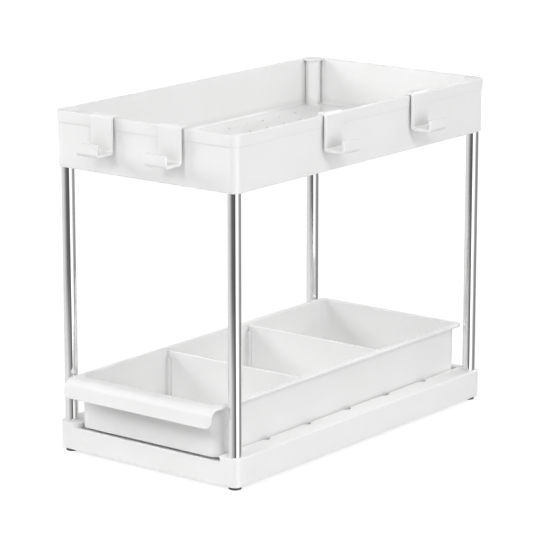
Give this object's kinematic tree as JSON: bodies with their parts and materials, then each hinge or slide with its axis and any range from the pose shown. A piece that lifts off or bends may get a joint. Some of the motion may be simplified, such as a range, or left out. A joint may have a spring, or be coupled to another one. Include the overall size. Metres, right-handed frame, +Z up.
{
  "type": "under sink organizer",
  "caption": "Low two-tier storage stand: an open top tray on slim tubes over a base with a sliding divided drawer, and hooks over the rim.",
  "frame": {"origin": "on the floor, below the middle of the whole part's bounding box, hooks and drawer pull included", "axes": "+Z up; -Y the front, where the drawer opens; X across, with two of the hooks on the +X side"},
  "size_m": [0.2358, 0.4108, 0.3235],
  "materials": {
    "white_plastic": "satin moulded plastic, near white",
    "plated_tube": "bright plated steel tube",
    "foot_rubber": "dark grey soft rubber"
  },
  "bodies": {
    "frame": {"base_tray": "white_plastic", "upper_tray": "white_plastic", "front_left_leg": "plated_tube", "front_left_foot": "foot_rubber", "front_left_cap": "white_plastic", "front_right_leg": "plated_tube", "front_right_foot": "foot_rubber", "front_right_cap": "white_plastic", "rear_left_leg": "plated_tube", "rear_left_foot": "foot_rubber", "rear_left_cap": "white_plastic", "rear_right_leg": "plated_tube", "rear_right_foot": "foot_rubber", "rear_right_cap": "white_plastic"},
    "drawer": {"drawer": "white_plastic"},
    "front_divider": {"front_divider": "white_plastic"},
    "rear_divider": {"rear_divider": "white_plastic"},
    "front_left_hook": {"front_left_hook": "white_plastic"},
    "front_right_hook": {"front_right_hook": "white_plastic"},
    "side_front_hook": {"side_front_hook": "white_plastic"},
    "side_rear_hook": {"side_rear_hook": "white_plastic"}
  },
  "joints": [
    {"name": "drawer_slide", "type": "slide", "parent": "frame", "child": "drawer", "axis": [0, -1, 0], "range_m": [0, 0.28]},
    {"name": "front_divider_lift", "type": "slide", "parent": "drawer", "child": "front_divider", "axis": [0, 0, 1], "range_m": [0, 0.06]},
    {"name": "rear_divider_lift", "type": "slide", "parent": "drawer", "child": "rear_divider", "axis": [0, 0, 1], "range_m": [0, 0.06]},
    {"name": "front_left_hook_lift", "type": "slide", "parent": "frame", "child": "front_left_hook", "axis": [0, 0, 1], "range_m": [0, 0.045]},
    {"name": "front_right_hook_lift", "type": "slide", "parent": "frame", "child": "front_right_hook", "axis": [0, 0, 1], "range_m": [0, 0.045]},
    {"name": "side_front_hook_lift", "type": "slide", "parent": "frame", "child": "side_front_hook", "axis": [0, 0, 1], "range_m": [0, 0.045]},
    {"name": "side_rear_hook_lift", "type": "slide", "parent": "frame", "child": "side_rear_hook", "axis": [0, 0, 1], "range_m": [0, 0.045]}
  ]
}
